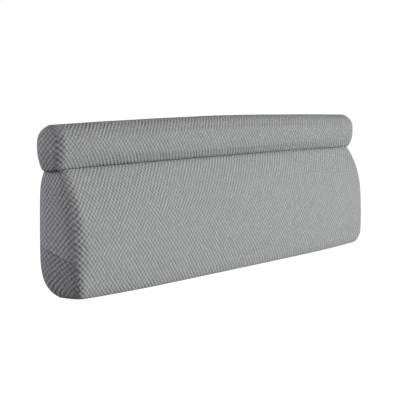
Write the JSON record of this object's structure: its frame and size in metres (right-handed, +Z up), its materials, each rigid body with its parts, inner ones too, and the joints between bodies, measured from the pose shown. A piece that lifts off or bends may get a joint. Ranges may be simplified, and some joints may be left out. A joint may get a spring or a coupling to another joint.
{
  "type": "backrest pillow",
  "caption": "Long grey wedge-shaped backrest pillow with a head roll sewn along its top and a turned-up base panel.",
  "frame": {"origin": "on the surface that the pillow stands on, under the middle of its box", "axes": "+X along the pillow's length, -Y out of its sloping front, +Y out of its back, +Z up through the head roll"},
  "size_m": [1.834, 0.1573, 0.5],
  "materials": {
    "cover_cloth": "matt woven grey cloth with a small diamond basket weave",
    "roll_cloth": "the same matt woven grey cloth, wrapped round the roll",
    "base_cloth": "the same woven cloth cut on another grain, a little darker"
  },
  "bodies": {
    "root": {"backrest_body": "cover_cloth", "head_roll": "roll_cloth", "base_panel": "base_cloth"}
  },
  "joints": []
}
